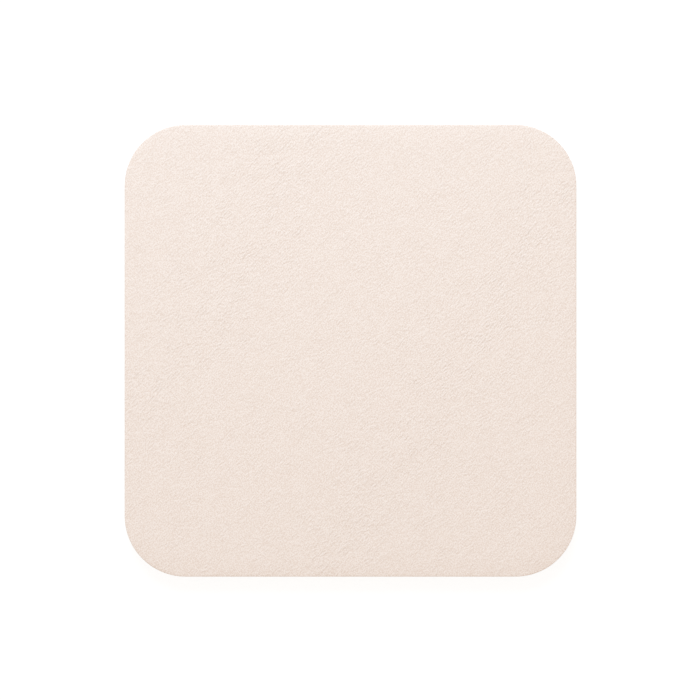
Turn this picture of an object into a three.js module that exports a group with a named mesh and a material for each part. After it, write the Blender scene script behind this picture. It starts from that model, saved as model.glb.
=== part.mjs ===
// Square silicone foam dressing for wounds, lying flat with its tacky side down.
//
// It is one soft pad, punched out of a bonded web: a skin-tone film above, foam in the middle
// and a silicone coat below. The layers are laminated before the punch comes down, so they never
// part in use, and the pad is one solid. The punch draws the film down towards the rim, which
// leaves a shallow shoulder all round, and breaks the upper and lower edges a little.
//
// Units are millimetres and +Z is up. The origin is the centre of the tacky face.

import * as THREE from "three";
import { mergeVertices } from "three/addons/utils/BufferGeometryUtils.js";

// Driving dimensions
const PAD_LENGTH = 100; // along X
const PAD_WIDTH = 100; // along Y
const PAD_THICKNESS = 5; // from the tacky face to the flat of the film
const CORNER_RADIUS = 13.5; // in plan, at the widest part of the rim
const SHOULDER_RUN = 4; // width of the band in which the film slopes down to the upper edge
const SHOULDER_DROP = 0.2; // how far the film has sunk where the upper edge's round begins
const UPPER_EDGE_RADIUS = 0.25; // round between the shoulder and the punched side
const LOWER_EDGE_RADIUS = 0.3; // round between the punched side and the tacky face

// How finely the round stretches are cut into flats
const CORNER_STEPS = 20; // flats in each corner of the outline
const SHOULDER_STEPS = 6;
const EDGE_STEPS = 4; // flats in the round of each edge

// An inset outline keeps at least this corner radius, because the film can't fold to a point
const TIGHTEST_CORNER = 0.5;

const FILM_COLOUR = 0xf1e4da;
const FILM_ROUGHNESS = 0.75;

/** The pad's outline in plan, drawn in from the rim by an inset, counter-clockwise. */
function outlineAt(inset) {
  const x = PAD_LENGTH / 2 - inset;
  const y = PAD_WIDTH / 2 - inset;
  const radius = Math.max(CORNER_RADIUS - inset, TIGHTEST_CORNER);
  const quarter = Math.PI / 2;
  const outline = new THREE.Shape();
  outline.absarc(x - radius, y - radius, radius, 0, quarter);
  outline.absarc(radius - x, y - radius, radius, quarter, 2 * quarter);
  outline.absarc(radius - x, radius - y, radius, 2 * quarter, 3 * quarter);
  outline.absarc(x - radius, radius - y, radius, 3 * quarter, 4 * quarter);
  return outline.getPoints(CORNER_STEPS / 2).slice(0, -1); // an arc gets twice this many steps
}

/** The rim's section from the tacky face up to the flat of the film: pairs of inset and height. */
function rimSection() {
  const section = [];
  for (let step = 0; step <= EDGE_STEPS; step += 1) {
    const angle = (step / EDGE_STEPS) * (Math.PI / 2);
    section.push({
      inset: LOWER_EDGE_RADIUS * (1 - Math.sin(angle)),
      height: LOWER_EDGE_RADIUS * (1 - Math.cos(angle)),
    });
  }

  // The shoulder is a parabola, and the upper edge's round takes over at its steepest tilt
  const tilt = Math.atan((2 * SHOULDER_DROP) / SHOULDER_RUN);
  const shoulderFoot = PAD_THICKNESS - SHOULDER_DROP;
  for (let step = EDGE_STEPS; step >= 0; step -= 1) {
    const angle = tilt + (step / EDGE_STEPS) * (Math.PI / 2 - tilt);
    section.push({
      inset: UPPER_EDGE_RADIUS * (1 - Math.sin(angle)),
      height: shoulderFoot - UPPER_EDGE_RADIUS * (Math.cos(tilt) - Math.cos(angle)),
    });
  }
  const shoulderStart = UPPER_EDGE_RADIUS * (1 - Math.sin(tilt));
  for (let step = 1; step <= SHOULDER_STEPS; step += 1) {
    const risen = step / SHOULDER_STEPS;
    section.push({
      inset: shoulderStart + SHOULDER_RUN * risen,
      height: PAD_THICKNESS - SHOULDER_DROP * (1 - risen) ** 2,
    });
  }
  return section;
}

/** The closed skin of the pad: the rim's section carried round the outline, and two flat faces. */
function padGeometry() {
  const rings = rimSection().map(({ inset, height }) =>
    outlineAt(inset).map((point) => new THREE.Vector3(point.x, point.y, height)),
  );
  const around = rings[0].length;
  const top = rings.length - 1;
  const triangles = [];
  for (let ring = 0; ring < top; ring += 1) {
    for (let here = 0; here < around; here += 1) {
      const next = (here + 1) % around;
      const [low, lowNext] = [ring * around + here, ring * around + next];
      const [high, highNext] = [low + around, lowNext + around];
      triangles.push(low, lowNext, highNext, low, highNext, high);
    }
  }
  for (const [a, b, c] of THREE.ShapeUtils.triangulateShape(rings[0], [])) {
    triangles.push(c, b, a); // the tacky face looks down
  }
  for (const face of THREE.ShapeUtils.triangulateShape(rings[top], [])) {
    triangles.push(...face.map((corner) => top * around + corner));
  }
  const geometry = new THREE.BufferGeometry().setFromPoints(rings.flat());
  geometry.setIndex(triangles);
  return mergeVertices(geometry);
}

const dressing = new THREE.Mesh(
  padGeometry(),
  new THREE.MeshStandardMaterial({
    color: FILM_COLOUR,
    roughness: FILM_ROUGHNESS,
    metalness: 0,
  }),
);
dressing.name = "silicone_dressing";
dressing.geometry.computeVertexNormals();

const part = new THREE.Group();
part.add(dressing);

export default part;
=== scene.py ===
import math

import bpy
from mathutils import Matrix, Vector


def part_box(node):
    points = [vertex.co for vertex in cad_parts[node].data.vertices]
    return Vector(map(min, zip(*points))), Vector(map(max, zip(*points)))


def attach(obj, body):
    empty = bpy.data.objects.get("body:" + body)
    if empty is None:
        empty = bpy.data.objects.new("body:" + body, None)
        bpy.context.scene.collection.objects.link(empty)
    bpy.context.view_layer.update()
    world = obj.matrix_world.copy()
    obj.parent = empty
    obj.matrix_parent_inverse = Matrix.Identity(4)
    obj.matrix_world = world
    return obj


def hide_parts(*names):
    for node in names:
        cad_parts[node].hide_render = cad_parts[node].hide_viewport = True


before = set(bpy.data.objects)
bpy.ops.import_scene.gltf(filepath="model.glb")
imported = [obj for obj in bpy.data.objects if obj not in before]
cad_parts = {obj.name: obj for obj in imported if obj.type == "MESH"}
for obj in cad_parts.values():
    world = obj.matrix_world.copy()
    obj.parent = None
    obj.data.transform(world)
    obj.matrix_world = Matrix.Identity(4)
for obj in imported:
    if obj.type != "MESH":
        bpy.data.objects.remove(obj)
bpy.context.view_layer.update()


# The film is the dressing's back: a thin, matt, skin-tone sheet that keeps water out. It has a
# fine leathery grain, over a random mottle, with painted shade in its hollows and painted light on
# its crests, and two slanting bands where the web was creased a little as it was wound, so that
# the grain is stronger there.

MM = 0.001
FILM_COLOUR = (0.884, 0.767, 0.693)
# The next two colours are the film's paler and deeper random tones. They are also the painted light
# on the grain's crests and the painted shade in its hollows.
FILM_PALE_TONE_AND_LIT_CREST = (0.934, 0.833, 0.769)
FILM_DEEP_TONE_AND_HOLLOW_SHADE = (0.834, 0.701, 0.617)
FILM_ROUGHNESS = 0.62
FILM_SPECULAR = 0.4
RIDGE_TURN = math.radians(50)  # the way that the grain's ridges run, from X towards Y
CREASE_TURN = math.radians(60)  # the way that the creased bands run
CREASE_BANDS = (-34.5 * MM, 20.7 * MM)  # where each crosses the line square to its run
CREASE_BAND_WIDTH = 9 * MM
CREASE_WANDER = 7 * MM  # how far a band strays to either side
CREASE_WANDER_PITCH = 22 * MM
CREASE_SEED = 3.0
PATCH_PITCH = 4.5 * MM  # the grain is also stronger or weaker in small patches
PATCH_SHARE = 0.65
PATCH_SEED = 5.0
GRAIN_GAIN = (0.78, 0.36)  # strength of the grain outside the bands, and what they add to it

# Each kind of fine grain: pitch across its ridges, strength, and length over width
FILM_GRAIN = ((1.6 * MM, 0.4, 2.2), (0.72 * MM, 0.45, 2.6), (0.37 * MM, 1.0, 2.2))
FILM_GRAIN_HEIGHT = 0.053 * MM
GRAIN_SEED = 21.0

# Each kind of mottled colour: pitch and strength
FILM_MOTTLE = ((7.0 * MM, 0.08), (3.0 * MM, 0.18), (1.3 * MM, 0.28), (0.265 * MM, 2.5))
MOTTLE_SEED = 31.0
GRAIN_SHADE_IN_TONE = 0.35  # painted shade and light: how much darker the grain's hollows and paler its crests are painted


class Field:
    """A number that a node tree works out at each point. Sums on it add Math nodes to the tree."""

    def __init__(self, socket):
        self.socket = socket
        self.tree = socket.id_data

    def maths(self, operation, *others):
        return maths(self.tree, operation, self, *others)

    def __add__(self, other):
        return self.maths("ADD", other)

    def __sub__(self, other):
        return self.maths("SUBTRACT", other)

    def __rsub__(self, other):
        return maths(self.tree, "SUBTRACT", other, self)

    def __mul__(self, other):
        return self.maths("MULTIPLY", other)

    def __truediv__(self, other):
        return self.maths("DIVIDE", other)

    def __neg__(self):
        return self.maths("MULTIPLY", -1.0)

    def __abs__(self):
        return self.maths("ABSOLUTE")

    __radd__ = __add__

    def between(self, lowest, highest):
        """The field, held at or above the lowest value and at or below the highest."""
        return self.maths("MAXIMUM", lowest).maths("MINIMUM", highest)

    def sine(self):
        return self.maths("SINE")

    def cosine(self):
        return self.maths("COSINE")

    def as_factor(self):
        """The field moved from -1 to 1 into 0 to 1, and cut off there."""
        return (self * 0.5 + 0.5).between(0, 1)


def feed(socket, value):
    """Links a field, or another node's output, to a socket, or sets the socket to a plain value."""
    if isinstance(value, Field):
        value = value.socket
    if isinstance(value, bpy.types.NodeSocket):
        socket.id_data.links.new(value, socket)
    else:
        socket.default_value = value


def add(tree, kind, inputs=None, **settings):
    """Adds a node of that kind to the tree, with its settings and its inputs by name or number."""
    made = tree.nodes.new(kind)
    for name, value in settings.items():
        setattr(made, name, value)
    for socket, value in (inputs or {}).items():
        feed(made.inputs[socket], value)
    return made


def maths(tree, operation, *values):
    """A field from one Math node."""
    made = add(tree, "ShaderNodeMath", dict(enumerate(values)), operation=operation)
    return Field(made.outputs["Value"])


def split(tree, vector):
    """The x, y and z fields of a vector."""
    return [Field(socket) for socket in add(tree, "ShaderNodeSeparateXYZ", {0: vector}).outputs]


def rough(tree, place, pitch, seed, detail=0.0):
    """Noise from about -1 to 1 with bumps of one pitch, and finer ones too with some detail."""
    noise = {"Vector": place, "W": seed, "Scale": 1 / pitch, "Detail": detail}
    made = add(tree, "ShaderNodeTexNoise", noise, noise_dimensions="4D")
    return (Field(made.outputs[0]) - 0.5) * 2


def flat_rough(tree, place, pitch, seed):
    """Noise from about -1 to 1 in plan only, with less of the longer waves than rough has."""
    moved = add(tree, "ShaderNodeVectorMath", {0: place, 1: (seed * MM, seed * MM, 0)}).outputs[0]
    noise = {"Vector": moved, "Scale": 1 / pitch, "Detail": 0.0}
    made = add(tree, "ShaderNodeTexNoise", noise, noise_dimensions="2D")
    return (Field(made.outputs[0]) - 0.5) * 2


def along_ridges(tree, place, stretch):
    """A place in a frame that lies along the film's ridges and is drawn together along them."""
    spin = {"Vector": place, "Angle": -RIDGE_TURN}
    turned = add(tree, "ShaderNodeVectorRotate", spin, rotation_type="Z_AXIS")
    squeeze = {0: turned.outputs[0], 1: (1 / stretch, 1, 1)}
    return add(tree, "ShaderNodeVectorMath", squeeze, operation="MULTIPLY").outputs[0]


def grain_gain(tree, place):
    """How strong the film's grain is at a place: a little stronger in the creased bands."""
    x, y, _ = split(tree, place)
    across = x * math.sin(CREASE_TURN) - y * math.cos(CREASE_TURN)
    across = across + rough(tree, place, CREASE_WANDER_PITCH, CREASE_SEED) * CREASE_WANDER
    plain, creased = GRAIN_GAIN
    gain = plain
    for middle in CREASE_BANDS:
        away = (across - middle) / CREASE_BAND_WIDTH
        gain = gain + (-(away * away)).maths("EXPONENT") * creased
    return gain * (1 + rough(tree, place, PATCH_PITCH, PATCH_SEED) * PATCH_SHARE)


def matter(name, colour, roughness, specular):
    """A material, with its tree, its shader and the place that its pattern reads."""
    made = bpy.data.materials.new(name)
    made.use_nodes = True
    tree = made.node_tree
    surface = tree.nodes["Principled BSDF"]
    surface.inputs["Base Color"].default_value = (*colour, 1)
    surface.inputs["Roughness"].default_value = roughness
    surface.inputs["Specular IOR Level"].default_value = specular
    return made, tree, surface, add(tree, "ShaderNodeTexCoord").outputs["Object"]


def bumped(tree, height, depth):
    """The normal of a surface that rises and falls by a height, given in parts of a depth."""
    bump = {"Height": height, "Distance": depth, "Strength": 1.0}
    return add(tree, "ShaderNodeBump", bump).outputs[0]


def mixed(tree, factor, first, second):
    """A colour between two, by a factor from 0 to 1. Inputs 6 and 7 and output 2 are colours."""
    mix = {"Factor": factor, 6: (*first, 1), 7: (*second, 1)}
    return add(tree, "ShaderNodeMix", mix, data_type="RGBA").outputs[2]


def film_finish():
    """The film's material, with the grain that is too fine for the mesh, and painted shade in its
    hollows.
    """
    made, tree, surface, place = matter("film", FILM_COLOUR, FILM_ROUGHNESS, FILM_SPECULAR)
    grain = 0
    for turn, (pitch, strength, stretch) in enumerate(FILM_GRAIN):
        ridged = along_ridges(tree, place, stretch)
        grain = flat_rough(tree, ridged, pitch, GRAIN_SEED + turn) * strength + grain
    turned = along_ridges(tree, place, stretch=1.0)  # so that no row of it lies along the pad
    mottle = 0
    for turn, (pitch, strength) in enumerate(FILM_MOTTLE):
        mottle = flat_rough(tree, turned, pitch, MOTTLE_SEED + turn) * strength + mottle
    height = grain * grain_gain(tree, place)
    feed(surface.inputs["Normal"], bumped(tree, height, FILM_GRAIN_HEIGHT))
    # Painted shade and light: the colour is deeper in the grain's hollows and paler on its crests,
    # over random mottle.
    tone = (mottle + grain * GRAIN_SHADE_IN_TONE).as_factor()
    feed(surface.inputs["Base Color"], mixed(tree, tone, FILM_DEEP_TONE_AND_HOLLOW_SHADE, FILM_PALE_TONE_AND_LIT_CREST))
    return made


film = film_finish()


# The foam under the film soaks up fluid. Only its cut edge shows, where the punch has opened fine
# cells, round holes of uneven size, with painted shade that makes them look a little browner.

FOAM_COLOUR = (0.90, 0.81, 0.73)
# The pore colour is painted shade inside the foam's cells.
FOAM_PORE_SHADE = (0.76, 0.64, 0.545)
FOAM_ROUGHNESS = 0.9
FOAM_SPECULAR = 0.3
FOAM_CELL = 0.32 * MM
FOAM_CELL_DEPTH = 0.06 * MM
FOAM_HOLE = (0.2, 0.75)  # radius of the smallest and the largest hole, as shares of a cell
FOAM_SLOPE = 0.5  # width of a hole's sloping side, as a share of a cell


def foam_finish():
    """The cut foam's material: open cells, each as wide as chance has it, with painted shade in
    them.
    """
    made, tree, surface, place = matter("cut_foam", FOAM_COLOUR, FOAM_ROUGHNESS, FOAM_SPECULAR)
    cells = add(tree, "ShaderNodeTexVoronoi", {"Vector": place, "Scale": 1 / FOAM_CELL}).outputs
    smallest, largest = FOAM_HOLE
    radius = split(tree, cells["Color"])[0] * (largest - smallest) + smallest
    pore_hollow_and_shade = ((radius - Field(cells["Distance"])) / FOAM_SLOPE).between(0, 1)
    feed(surface.inputs["Normal"], bumped(tree, -pore_hollow_and_shade, FOAM_CELL_DEPTH))
    # Painted shade: each hole's colour darkens towards its middle.
    feed(surface.inputs["Base Color"], mixed(tree, pore_hollow_and_shade, FOAM_COLOUR, FOAM_PORE_SHADE))
    return made


foam = foam_finish()


# The silicone coat is the tacky face that the pad lies on: a smooth, slightly glossy gel, through
# which the foam's unevenness shows faintly.

COAT_COLOUR = (0.86, 0.75, 0.67)
COAT_HOLLOW = (0.83, 0.71, 0.62)
COAT_ROUGHNESS = 0.38
COAT_SPECULAR = 0.5
COAT_RIPPLE = 2.2 * MM
COAT_RIPPLE_HEIGHT = 0.02 * MM
COAT_RIPPLE_DETAIL = 2.0
COAT_SEED = 41.0


def coat_finish():
    """The silicone coat's material."""
    made, tree, surface, place = matter("silicone_coat", COAT_COLOUR, COAT_ROUGHNESS, COAT_SPECULAR)
    ripple = rough(tree, place, COAT_RIPPLE, COAT_SEED, COAT_RIPPLE_DETAIL)
    feed(surface.inputs["Normal"], bumped(tree, ripple, COAT_RIPPLE_HEIGHT))
    # The coat's colour is a little darker where the ripple is low and lighter where it is high.
    tone = ripple.as_factor()
    feed(surface.inputs["Base Color"], mixed(tree, tone, COAT_HOLLOW, COAT_COLOUR))
    return made


coat = coat_finish()


# The dressing is one soft square, punched out of the bonded web of film, foam and silicone. The
# punch leaves straight foam walls, a shallow shoulder round the film and a small round on both
# edges, so one rule gives its whole skin, ring by ring, from the film's middle to the tacky face.

PAD = "silicone_dressing"
low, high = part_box(PAD)
SIDE = high.x - low.x
THICKNESS = high.z - low.z
CORNER_RADIUS = 13.5 * MM
SHOULDER_RUN = 4 * MM
SHOULDER_DROP = 0.2 * MM
UPPER_EDGE_RADIUS = 0.25 * MM
LOWER_EDGE_RADIUS = 0.3 * MM
HEM = 1.2 * MM  # border of the tacky face, between its round edge and the plain middle

# Rings of quads, counted from the middle of the film out, down the wall and in under the pad
FILM_RINGS = 138
UPPER_EDGE_RINGS = 4
WALL_RINGS = 10
LOWER_EDGE_RINGS = 3
HEM_RINGS = 1
ALL_RINGS = FILM_RINGS + UPPER_EDGE_RINGS + WALL_RINGS + LOWER_EDGE_RINGS + HEM_RINGS

# Relief that is wide enough for the mesh: pitch and height of each kind on the film
FILM_RELIEF = {
    "Swell": (6.8 * MM, 0.045 * MM),
    "Pebble": (3.4 * MM, 0.035 * MM),
    "Grain": (1.7 * MM, 0.02 * MM),
}
RELIEF_STRETCH = 2.4  # how much longer a ridge of the relief is than wide
RELIEF_SEED = 11.0
WALL_PORE = 0.9 * MM
WALL_PORE_DEPTH = 0.1 * MM
WALL_PORE_DETAIL = 1.0
WALL_WORN = 0.5  # how far the wall lies inside its plain face on average, in parts of that depth
WALL_SEED = 15.0
SEAM = 0.001 * MM  # points nearer than this are one where the tacky face's middle is joined on

# Relief fades out towards the upper edge's round: from this many rings inside the film's border,
# and over as many rings at the top of the wall
FADE_RINGS = 2

pad_sizes = {
    "Side": SIDE,
    "Thickness": THICKNESS,
    "Corner Radius": CORNER_RADIUS,
    "Shoulder Run": SHOULDER_RUN,
    "Shoulder Drop": SHOULDER_DROP,
    "Upper Edge": UPPER_EDGE_RADIUS,
    "Lower Edge": LOWER_EDGE_RADIUS,
    "Hem": HEM,
    "Pore Depth": WALL_PORE_DEPTH,
}
for name, (_, height) in FILM_RELIEF.items():
    pad_sizes[name + " Height"] = height


def pad_tree():
    """The rule of the pad's skin as Geometry Nodes, and the identifier of each size's input."""
    tree = bpy.data.node_groups.new("punched_pad", "GeometryNodeTree")
    tree.interface.new_socket("Geometry", in_out="OUTPUT", socket_type="NodeSocketGeometry")
    identifiers = {}
    for name in pad_sizes:
        socket = tree.interface.new_socket(name, in_out="INPUT", socket_type="NodeSocketFloat")
        identifiers[name] = socket.identifier
    given = tree.nodes.new("NodeGroupInput")
    size = {name: Field(given.outputs[name]) for name in pad_sizes}

    # A flat grid, one unit to a quad, whose square rings become the rings of the pad
    count = 2 * ALL_RINGS + 1
    grid = add(tree, "GeometryNodeMeshGrid", {
        "Size X": 2 * ALL_RINGS, "Size Y": 2 * ALL_RINGS, "Vertices X": count, "Vertices Y": count,
    })
    x, y, _ = split(tree, add(tree, "GeometryNodeInputPosition").outputs[0])
    ring = abs(x).maths("MAXIMUM", abs(y))
    share = abs(x).maths("MINIMUM", abs(y)) / ring  # 0 at a side's middle, 1 at its corner
    numbered = add(tree, "GeometryNodeStoreNamedAttribute", {
        "Geometry": grid.outputs["Mesh"], "Name": "ring", "Value": ring,
    }, data_type="FLOAT", domain="POINT")

    # The rim's section: how far each ring lies in from the rim, and how high
    out = ring - FILM_RINGS
    edge_share = (out / UPPER_EDGE_RINGS).between(0, 1)
    wall_share = ((out - UPPER_EDGE_RINGS) / WALL_RINGS).between(0, 1)
    foot_share = ((out - UPPER_EDGE_RINGS - WALL_RINGS) / LOWER_EDGE_RINGS).between(0, 1)
    hem_share = (out - UPPER_EDGE_RINGS - WALL_RINGS - LOWER_EDGE_RINGS).between(0, HEM_RINGS)
    tilt = (size["Shoulder Drop"] * 2 / size["Shoulder Run"]).maths("ARCTANGENT")
    edge_in = size["Upper Edge"] * (1 - tilt.sine())
    film_share = (-out).between(0, FILM_RINGS) / FILM_RINGS
    film_in = film_share * (size["Side"] / 2 - edge_in)
    edge_turn = tilt + edge_share * (math.pi / 2 - tilt)
    foot_turn = foot_share * (math.pi / 2)
    inset = film_in + size["Upper Edge"] * (1 - edge_turn.sine())
    inset = inset + size["Lower Edge"] * (1 - foot_turn.cosine()) + size["Hem"] * hem_share

    sunk = (1 - film_in / size["Shoulder Run"]).between(0, 1)
    wall = size["Thickness"] - size["Shoulder Drop"] - size["Lower Edge"]
    wall = wall - size["Upper Edge"] * tilt.cosine()
    height = size["Thickness"] - size["Shoulder Drop"] * sunk * sunk
    height = height - size["Upper Edge"] * (tilt.cosine() - edge_turn.cosine())
    height = height - wall * wall_share - size["Lower Edge"] * foot_turn.sine()

    # The rounded square through each ring, worked out in one eighth and mirrored to the others
    half = size["Side"] / 2 - inset
    radius = (size["Corner Radius"] - inset).maths("MAXIMUM", 0)
    straight = half - radius
    reach = share * (straight + radius * (math.pi / 4))
    bend = ((reach - straight) / radius).between(0, math.pi / 4)
    major = straight + radius * bend.cosine()
    minor = reach.maths("MINIMUM", straight) + radius * bend.sine()
    x_leads = abs(x).maths("LESS_THAN", abs(y)).maths("SUBTRACT", 1).maths("ABSOLUTE")
    along_x = (major * x_leads + minor * (1 - x_leads)) * x.maths("SIGN")
    along_y = (minor * x_leads + major * (1 - x_leads)) * y.maths("SIGN")
    place = add(tree, "ShaderNodeCombineXYZ", {0: along_x, 1: along_y, 2: height})
    skin = add(tree, "GeometryNodeSetPosition", {
        "Geometry": numbered.outputs[0], "Position": place.outputs[0],
    })

    # Relief: the film's swells, pebbles and grain, and the open pores of the punched wall
    ring = Field(add(tree, "GeometryNodeInputNamedAttribute", {"Name": "ring"}).outputs[0])
    out = ring - FILM_RINGS
    on_film = 1 - ((out + FADE_RINGS) / UPPER_EDGE_RINGS).between(0, 1)
    on_wall = ((out - UPPER_EDGE_RINGS) / FADE_RINGS + 0.5).between(0, 1)
    on_wall = on_wall * (UPPER_EDGE_RINGS + WALL_RINGS - out).between(0, 1)
    place = add(tree, "GeometryNodeInputPosition").outputs[0]
    ridged = along_ridges(tree, place, RELIEF_STRETCH)
    gain = grain_gain(tree, place)
    relief = 0
    for turn, (name, (pitch, _)) in enumerate(FILM_RELIEF.items()):
        relief = rough(tree, ridged, pitch, RELIEF_SEED + turn) * size[name + " Height"] + relief
    pores = rough(tree, place, WALL_PORE, WALL_SEED, WALL_PORE_DETAIL) - WALL_WORN
    push = relief * gain * on_film + pores * size["Pore Depth"] * on_wall
    normal = add(tree, "GeometryNodeInputNormal").outputs[0]
    offset = add(tree, "ShaderNodeVectorMath", {0: normal, "Scale": push}, operation="SCALE")
    embossed = add(tree, "GeometryNodeSetPosition", {
        "Geometry": skin.outputs[0], "Offset": offset.outputs[0],
    })

    # The plain middle of the tacky face closes the skin
    lone = add(tree, "GeometryNodeInputMeshEdgeNeighbors").outputs[0]
    rim = add(tree, "FunctionNodeCompare", {2: lone, 3: 1}, data_type="INT", operation="EQUAL")
    loop = add(tree, "GeometryNodeMeshToCurve", {0: embossed.outputs[0], 1: rim.outputs[0]})
    middle = add(tree, "GeometryNodeFillCurve", {0: loop.outputs[0]}, mode="NGONS")
    middle = add(tree, "GeometryNodeFlipFaces", {0: middle.outputs[0]})
    middle = add(tree, "GeometryNodeStoreNamedAttribute", {
        "Geometry": middle.outputs[0], "Name": "ring", "Value": ALL_RINGS,
    }, data_type="FLOAT", domain="POINT")
    closed = add(tree, "GeometryNodeJoinGeometry")
    feed(closed.inputs[0], embossed.outputs[0])
    feed(closed.inputs[0], middle.outputs[0])
    join = {"Geometry": closed.outputs[0], "Distance": SEAM}
    closed = add(tree, "GeometryNodeMergeByDistance", join)
    closed = add(tree, "GeometryNodeSetShadeSmooth", {0: closed.outputs[0]})
    closed = add(tree, "GeometryNodeRealizeInstances", {0: closed.outputs[0]})

    # Film all over, then cut foam from one ring on, and silicone coat from another
    closed = add(tree, "GeometryNodeSetMaterial", {0: closed.outputs[0], "Material": film})
    foam_from = FILM_RINGS + UPPER_EDGE_RINGS
    coat_from = FILM_RINGS + UPPER_EDGE_RINGS + WALL_RINGS
    for finish, first in ((foam, foam_from), (coat, coat_from)):
        onward = add(tree, "FunctionNodeCompare", {0: ring, 1: first}, operation="GREATER_THAN")
        closed = add(tree, "GeometryNodeSetMaterial", {
            "Geometry": closed.outputs[0], "Selection": onward.outputs[0], "Material": finish,
        })
    result = tree.nodes.new("NodeGroupOutput")
    feed(result.inputs[0], closed.outputs[0])
    return tree, identifiers


tree, identifiers = pad_tree()
blank = bpy.data.objects.new("blank", bpy.data.meshes.new("blank"))
bpy.context.scene.collection.objects.link(blank)
rule = blank.modifiers.new("skin", "NODES")
rule.node_group = tree
for name, value in pad_sizes.items():
    rule[identifiers[name]] = value
depsgraph = bpy.context.evaluated_depsgraph_get()
mesh = bpy.data.meshes.new_from_object(blank.evaluated_get(depsgraph), depsgraph=depsgraph)
mesh.name = "dressing"
mesh.materials.pop(index=list(mesh.materials).index(None))  # the grid's own empty slot
dressing = bpy.data.objects.new("dressing", mesh)
bpy.context.scene.collection.objects.link(dressing)
bpy.data.objects.remove(blank)
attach(dressing, "root")
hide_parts(PAD)


# The table is a plain sheet of white paper, which the pad lies on. It takes the pad's soft
# shadow, and it is pure white where it is seen or mirrored.

TABLE_SPAN = 20.0
TABLE_GAP = 0.02 * MM  # between the tacky face and the sheet
TABLE_SHADE = 0.25
TABLE_GLOW = 0.82
TABLE_COLOUR = (0.9, 0.9, 0.9, 1)
bpy.ops.mesh.primitive_plane_add(size=TABLE_SPAN, location=(0, 0, -TABLE_GAP))
table = bpy.context.object
table.name = "table"
sheet = bpy.data.materials.new("white_sheet")
sheet.use_nodes = True
tree = sheet.node_tree
tree.nodes.clear()
rays = add(tree, "ShaderNodeLightPath").outputs
seen = Field(rays["Is Camera Ray"])
for ray in ("Is Glossy Ray", "Is Transmission Ray"):
    seen = seen.maths("MAXIMUM", Field(rays[ray]))
paper = add(tree, "ShaderNodeBsdfDiffuse", {"Color": TABLE_COLOUR})
shade = add(tree, "ShaderNodeBsdfDiffuse", {"Color": (TABLE_SHADE, TABLE_SHADE, TABLE_SHADE, 1)})
glow = add(tree, "ShaderNodeEmission", {"Strength": TABLE_GLOW})
white = add(tree, "ShaderNodeAddShader", {0: shade.outputs[0], 1: glow.outputs[0]})
face = add(tree, "ShaderNodeMixShader", {0: seen, 1: paper.outputs[0], 2: white.outputs[0]})
add(tree, "ShaderNodeOutputMaterial", {0: face.outputs[0]})
table.data.materials.append(sheet)


# Soft, slightly warm light comes from all round. One large, cooler lamp behind the pad gives the
# film's gentle fall of light from top to bottom and picks out its grain.

ROOM_COLOUR = (1.09, 1, 0.915, 1)
ROOM_STRENGTH = 0.695
LAMP_COLOUR = (0.78, 1, 1.2)
LAMP_WATTS = 1.67
LAMP_PLACE = Vector((-0.06, 0.40, 0.43))
LAMP_WIDTH = 0.4
LAMP_DEPTH = 0.3
room = bpy.data.worlds.new("room")
bpy.context.scene.world = room
room.use_nodes = True
tree = room.node_tree
tree.nodes.clear()
sky = add(tree, "ShaderNodeBackground", {"Color": ROOM_COLOUR, "Strength": ROOM_STRENGTH})
add(tree, "ShaderNodeOutputWorld", {0: sky.outputs[0]})

light = bpy.data.lights.new("lamp", "AREA")
light.shape = "RECTANGLE"
light.size = LAMP_WIDTH
light.size_y = LAMP_DEPTH
light.energy = LAMP_WATTS
light.color = LAMP_COLOUR
lamp = bpy.data.objects.new("lamp", light)
lamp.location = LAMP_PLACE
lamp.rotation_euler = LAMP_PLACE.to_track_quat("Z", "Y").to_euler()
bpy.context.scene.collection.objects.link(lamp)


# The camera looks straight down on the pad, as the photograph does, and the pad fills as much of
# the frame. The distance is a guess, and it makes no difference to so flat a thing.

FRAME_PIXELS = 700
PAD_PIXELS = 452
PAD_MIDDLE_PIXEL = (350.5, 350.75)
CAMERA_HEIGHT = 1.0  # above the film
NEAREST_SEEN = 0.01
SENSOR = 36.0
pixel = SIDE / PAD_PIXELS
eye = bpy.data.cameras.new("camera")
eye.sensor_width = SENSOR
eye.lens = SENSOR * CAMERA_HEIGHT / (pixel * FRAME_PIXELS)
eye.clip_start = NEAREST_SEEN
camera = bpy.data.objects.new("camera", eye)
camera.location = (
    (FRAME_PIXELS / 2 - PAD_MIDDLE_PIXEL[0]) * pixel,
    (PAD_MIDDLE_PIXEL[1] - FRAME_PIXELS / 2) * pixel,
    THICKNESS + CAMERA_HEIGHT,
)
bpy.context.scene.collection.objects.link(camera)
bpy.context.scene.camera = camera
bpy.context.scene.view_settings.view_transform = "Standard"
